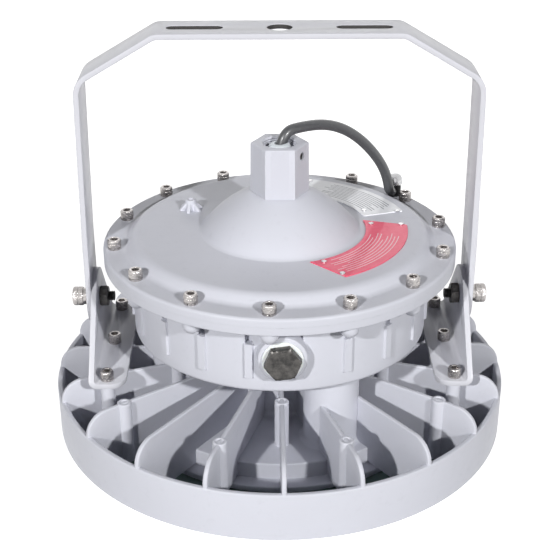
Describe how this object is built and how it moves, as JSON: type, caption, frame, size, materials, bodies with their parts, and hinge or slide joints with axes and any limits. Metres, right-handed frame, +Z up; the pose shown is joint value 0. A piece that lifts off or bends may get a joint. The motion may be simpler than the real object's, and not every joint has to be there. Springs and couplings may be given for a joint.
{
  "type": "explosion-proof led light",
  "caption": "Round finned flameproof LED floodlight with a driver box, a domed cover with a hexagonal cable hub and a tilting steel bail",
  "frame": {"origin": "centre of the outer ring, on the floor that the ring stands on", "axes": "+Z up along the lamp's axis, X along the bail's clamp bolts, -Y towards the spare cable entry's plug"},
  "size_m": [0.35, 0.35, 0.31],
  "materials": {
    "cast_paint": "pale grey powder coat on die-cast aluminium",
    "steel_paint": "pale grey powder coat on bent steel strap",
    "zinc_steel": "bright zinc plate",
    "dark_steel": "blackened steel, satin",
    "bush_rubber": "pale grey silicone, matte",
    "black_rubber": "black rubber, satin",
    "seal_nylon": "white nylon sealing washer",
    "cable_jacket": "black cable jacket, satin",
    "red_enamel": "red printed aluminium plate",
    "white_enamel": "white printed aluminium plate",
    "rivet_steel": "bright",
    "clear_glass": "tempered, clear",
    "board_white": "white solder mask on an aluminium core",
    "led_yellow": "yellow phosphor",
    "module_white": "moulded housing",
    "terminal_grey": "moulded, matte"
  },
  "bodies": {
    "lamp": {"heat_sink": "cast_paint", "heat_sink_ring": "cast_paint", "heat_sink_posts": "cast_paint", "heat_sink_fins": "cast_paint", "driver_box": "cast_paint", "cover": "cast_paint", "bezel_ring": "cast_paint", "glass": "clear_glass", "glass_gasket": "black_rubber", "bezel_screws": "zinc_steel", "led_board": "board_white", "leds": "led_yellow", "led_board_screws": "zinc_steel", "pillar_seals": "black_rubber", "cover_seal": "black_rubber", "plug_washer": "seal_nylon", "stopping_plug": "dark_steel", "grub_screw": "dark_steel", "cover_screws": "zinc_steel", "cover_spring_washers": "zinc_steel", "box_fixing_screws": "zinc_steel", "led_driver": "module_white", "terminal_block": "terminal_grey", "hub_washer": "zinc_steel", "hub_bush": "bush_rubber", "hub_clamp_ring": "dark_steel", "supply_cable": "cable_jacket", "cable_tail": "cable_jacket", "fitting_neck": "black_rubber", "fitting_dome": "bush_rubber", "red_plate": "red_enamel", "data_plate": "white_enamel", "plate_rivets": "rivet_steel", "bracket_right": "steel_paint", "bracket_left": "steel_paint", "bracket_screws": "zinc_steel", "bracket_spring_washers": "zinc_steel", "pivot_bolts": "zinc_steel", "pivot_spring_washers": "zinc_steel", "pivot_flat_washers": "zinc_steel", "pivot_nuts": "dark_steel"},
    "bail": {"bail": "steel_paint"}
  },
  "joints": [
    {"name": "bail_tilt", "type": "hinge", "parent": "lamp", "child": "bail", "pos_m": [0, 0, 0.1], "axis": [1, 0, 0], "range_deg": [-90, 90]}
  ]
}
